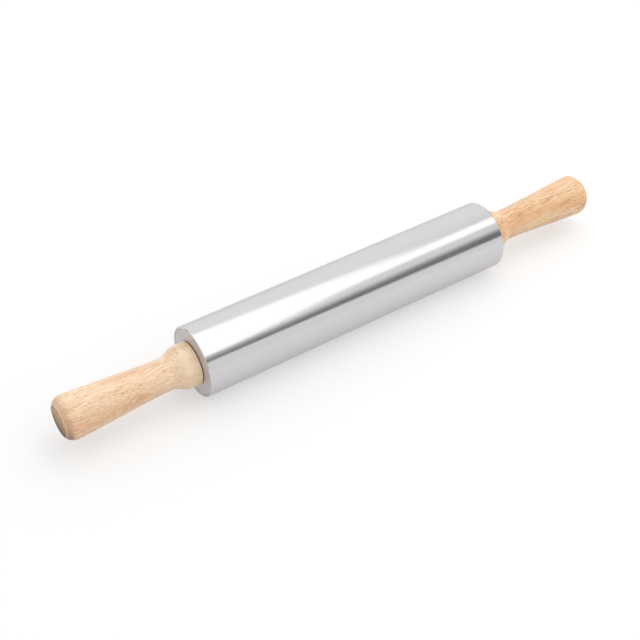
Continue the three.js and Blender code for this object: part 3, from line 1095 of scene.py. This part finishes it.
def snap_ring(side, sign, zinc):
    """Spring ring cut from sheet, stood on the axle with its mouth to one side."""
    mesh = cut_from_sheet("snap_ring", snap_ring_loops(), SNAP_OUT - SNAP_IN)
    middle = Matrix.Translation((sign * (SNAP_IN + SNAP_OUT) / 2, 0, 0))
    mouth_to_side = Matrix(((0, 0, 1, 0), (-sign, 0, 0, 0), (0, -sign, 0, 0), (0, 0, 0, 1)))
    mesh.transform(middle @ mouth_to_side)
    mesh.materials.clear()
    mesh.materials.append(zinc)
    place_piece(f"{side}_eyed_snap_ring", mesh, "axle_and_handles", "plated_steel", f"{side}_snap_ring")


def washer(side, sign, zinc):
    outline = ring_outline(WASHER_IN, WASHER_OUT, THREAD_BORE, WASHER_RADIUS, WASHER_EDGE)
    mesh = turned(outline, zinc, sign)
    place_piece(f"{side}_flat_washer", mesh, "axle_and_handles", "plated_steel", f"{side}_thrust_washer")


def nut(side, sign, zinc):
    blank = turned(nut_outline(), zinc, sign)
    mesh = grown(blank, CUT_HEXAGON, {"Flat": NUT_FLAT, "Material": zinc})
    place_piece(f"{side}_hex_nut", mesh, "axle_and_handles", "plated_steel", f"{side}_jam_nut")


def insert(side, sign, brass):
    mesh = turned(insert_outline(), brass, sign)
    place_piece(f"{side}_barbed_insert", mesh, "axle_and_handles", "brass", f"{side}_threaded_insert")


def handle(side, sign, wood):
    mesh = turned(handle_outline(), wood, sign, HANDLE_SEGMENTS)
    place_piece(f"{side}_turned_handle", mesh, "axle_and_handles", "wood", f"{side}_handle")


def pin():
    cap_steel = pressed_stainless()
    bearing_steel = ground_bearing_steel()
    ball_steel = lapped_ball_steel()
    nylon = moulded_nylon()
    zinc = zinc_plated_steel()
    brass = turned_brass()
    wood = lacquered_rubberwood()
    barrel(ground_stainless())
    axle(zinc)
    for side, sign in SIDES.items():
        cap(side, sign, cap_steel)
        races(side, sign, bearing_steel)
        shields(side, sign, bearing_steel)
        balls_and_cage(side, sign, ball_steel, nylon)
        snap_ring(side, sign, zinc)
        washer(side, sign, zinc)
        nut(side, sign, zinc)
        insert(side, sign, brass)
        handle(side, sign, wood)


# Studio

def stage_mesh(name, places, faces, material):
    mesh = bpy.data.meshes.new(name)
    mesh.from_pydata(places, [], faces)
    mesh.materials.append(material)
    card = bpy.data.objects.new(name, mesh)
    bpy.context.scene.collection.objects.link(card)
    return card


def bare_material(name):
    material = bpy.data.materials.new(name)
    material.use_nodes = True
    material.node_tree.nodes.clear()
    return material, material.node_tree


def seen_directly(tree):
    """1 for rays from the camera, a mirror or a clear body, and 0 for light that scatters."""
    path = add_node(tree, "ShaderNodeLightPath")
    sharp = add_node(tree, MATH, (path["Is Camera Ray"], path["Is Glossy Ray"]), operation="MAXIMUM")[0]
    return add_node(tree, MATH, (sharp, path["Is Transmission Ray"]), operation="MAXIMUM")[0]


def floor():
    material, tree = bare_material("white_paper")
    paper = add_node(tree, "ShaderNodeBsdfDiffuse", {"Color": linear("cccccc")})
    lift = add_node(tree, MATH, (seen_directly(tree), FLOOR_LIFT), operation="MULTIPLY")[0]
    glow = add_node(tree, "ShaderNodeEmission", {"Strength": lift})
    both = add_node(tree, "ShaderNodeAddShader", (paper[0], glow[0]))
    add_node(tree, "ShaderNodeOutputMaterial", {"Surface": both[0]})
    signs = [(-1, -1), (1, -1), (1, 1), (-1, 1)]
    places = [(x * FLOOR_HALF, y * FLOOR_HALF, FLOOR_HEIGHT) for x, y in signs]
    stage_mesh("floor", places, [(0, 1, 2, 3)], material)


def softbox():
    """Glowing card on the ceiling that fades to the level of the room along a soft margin."""
    corners = [Vector(corner) for corner in SOFTBOX_CORNERS]
    count = len(corners)
    outer = []
    faces = [tuple(range(count))]
    for index, corner in enumerate(corners):
        following = (index + 1) % count
        sides = (corner - corners[index - 1]).normalized(), (corners[following] - corner).normalized()
        out = [Vector((side.y, -side.x)) for side in sides]
        outer.append(corner + (out[0] + out[1]) * SOFTBOX_MARGIN / (1 + out[0].dot(out[1])))
        faces.append((index, following, count + following, count + index))
    material, tree = bare_material("softbox_cloth")
    level = add_node(tree, "ShaderNodeAttribute", attribute_name="level")["Fac"]
    glow = add_node(tree, MAP_RANGE, (level, 0.0, 1.0, 1.0, SOFTBOX_GLOW))["Result"]
    emission = add_node(tree, "ShaderNodeEmission", {"Strength": glow})
    add_node(tree, "ShaderNodeOutputMaterial", {"Surface": emission[0]})
    places = [(*point, CEILING) for point in corners + outer]
    card = stage_mesh("softbox", places, faces, material)
    levels = card.data.attributes.new("level", "FLOAT", "POINT")
    levels.data.foreach_set("value", [1.0] * count + [0.0] * count)
    card.visible_camera = False


def panels():
    """Dark panels on the tent's four walls, two of them in front, that only reflections see.

    They fade to white at the top. Each stands a quarter turn from the last, so the fifth is in front again.
    """
    material, tree = bare_material("graded_panel")
    place = add_node(tree, "ShaderNodeTexCoord")["Object"]
    height = add_node(tree, "ShaderNodeSeparateXYZ", (place,))["Z"]
    inputs = (height, *PANEL_FADE, PANEL_DARK)
    grade = add_node(tree, MAP_RANGE, inputs, interpolation_type="SMOOTHSTEP")["Result"]
    glow = add_node(tree, "ShaderNodeEmission", {"Strength": grade})
    add_node(tree, "ShaderNodeOutputMaterial", {"Surface": glow[0]})
    mirrored = [(-x, z) for x, z in SIDE_PANEL]
    walls = [FRONT_PANEL, SIDE_PANEL, SIDE_PANEL, mirrored, mirrored]
    for quarter, corners in enumerate(walls):
        turn = Matrix.Rotation(quarter * math.pi / 2, 3, "Z")
        places = [turn @ Vector((x, -PANEL_DISTANCE, z)) for x, z in corners]
        card = stage_mesh(f"panel_{quarter}", places, [tuple(range(len(places)))], material)
        card.visible_camera = False
        card.visible_diffuse = False
        card.visible_shadow = False
        card.visible_transmission = False


def world():
    """White tent, which mirrors see a little brighter behind the pin and which fills less from the left."""
    room = bpy.data.worlds.new("white_tent")
    bpy.context.scene.world = room
    room.use_nodes = True
    tree = room.node_tree
    tree.nodes.clear()
    white = linear("ffffff")
    towards = add_node(tree, "ShaderNodeTexCoord")["Generated"]
    axes = add_node(tree, "ShaderNodeSeparateXYZ", (towards,))
    from_side = add_node(tree, MAP_RANGE, (axes["X"], -1.0, 1.0, FILL_LEFT, FILL_RIGHT))["Result"]
    from_back = add_node(tree, MAP_RANGE, (axes["Y"], 0.0, TENT_BACK_FULL, 1.0, TENT_BACK))["Result"]
    fill = add_node(tree, "ShaderNodeBackground", {"Color": white, "Strength": from_side})
    tent = add_node(tree, "ShaderNodeBackground", {"Color": white, "Strength": from_back})
    mixed = add_node(tree, "ShaderNodeMixShader", (seen_directly(tree), fill[0], tent[0]))
    add_node(tree, "ShaderNodeOutputWorld", {"Surface": mixed[0]})


def studio():
    floor()
    softbox()
    panels()
    world()
    bpy.context.scene.view_settings.view_transform = "Standard"


def camera():
    back = Vector((
        math.sin(VIEW_AZIMUTH) * math.cos(VIEW_ELEVATION),
        -math.cos(VIEW_AZIMUTH) * math.cos(VIEW_ELEVATION),
        math.sin(VIEW_ELEVATION),
    ))
    right = Vector((0, 0, 1)).cross(back).normalized()
    up = back.cross(right)
    data = bpy.data.cameras.new("camera")
    data.sensor_width = SENSOR
    data.lens = SENSOR * FOCAL_PIXELS / IMAGE_SIZE
    data.clip_start = CLIP_START
    shot = bpy.data.objects.new("camera", data)
    place = right * AIM_RIGHT + up * AIM_UP + back * VIEW_DISTANCE
    shot.matrix_world = Matrix.Translation(place) @ Matrix((right, up, back)).transposed().to_4x4()
    bpy.context.scene.collection.objects.link(shot)
    bpy.context.scene.camera = shot


camera()
pin()
studio()
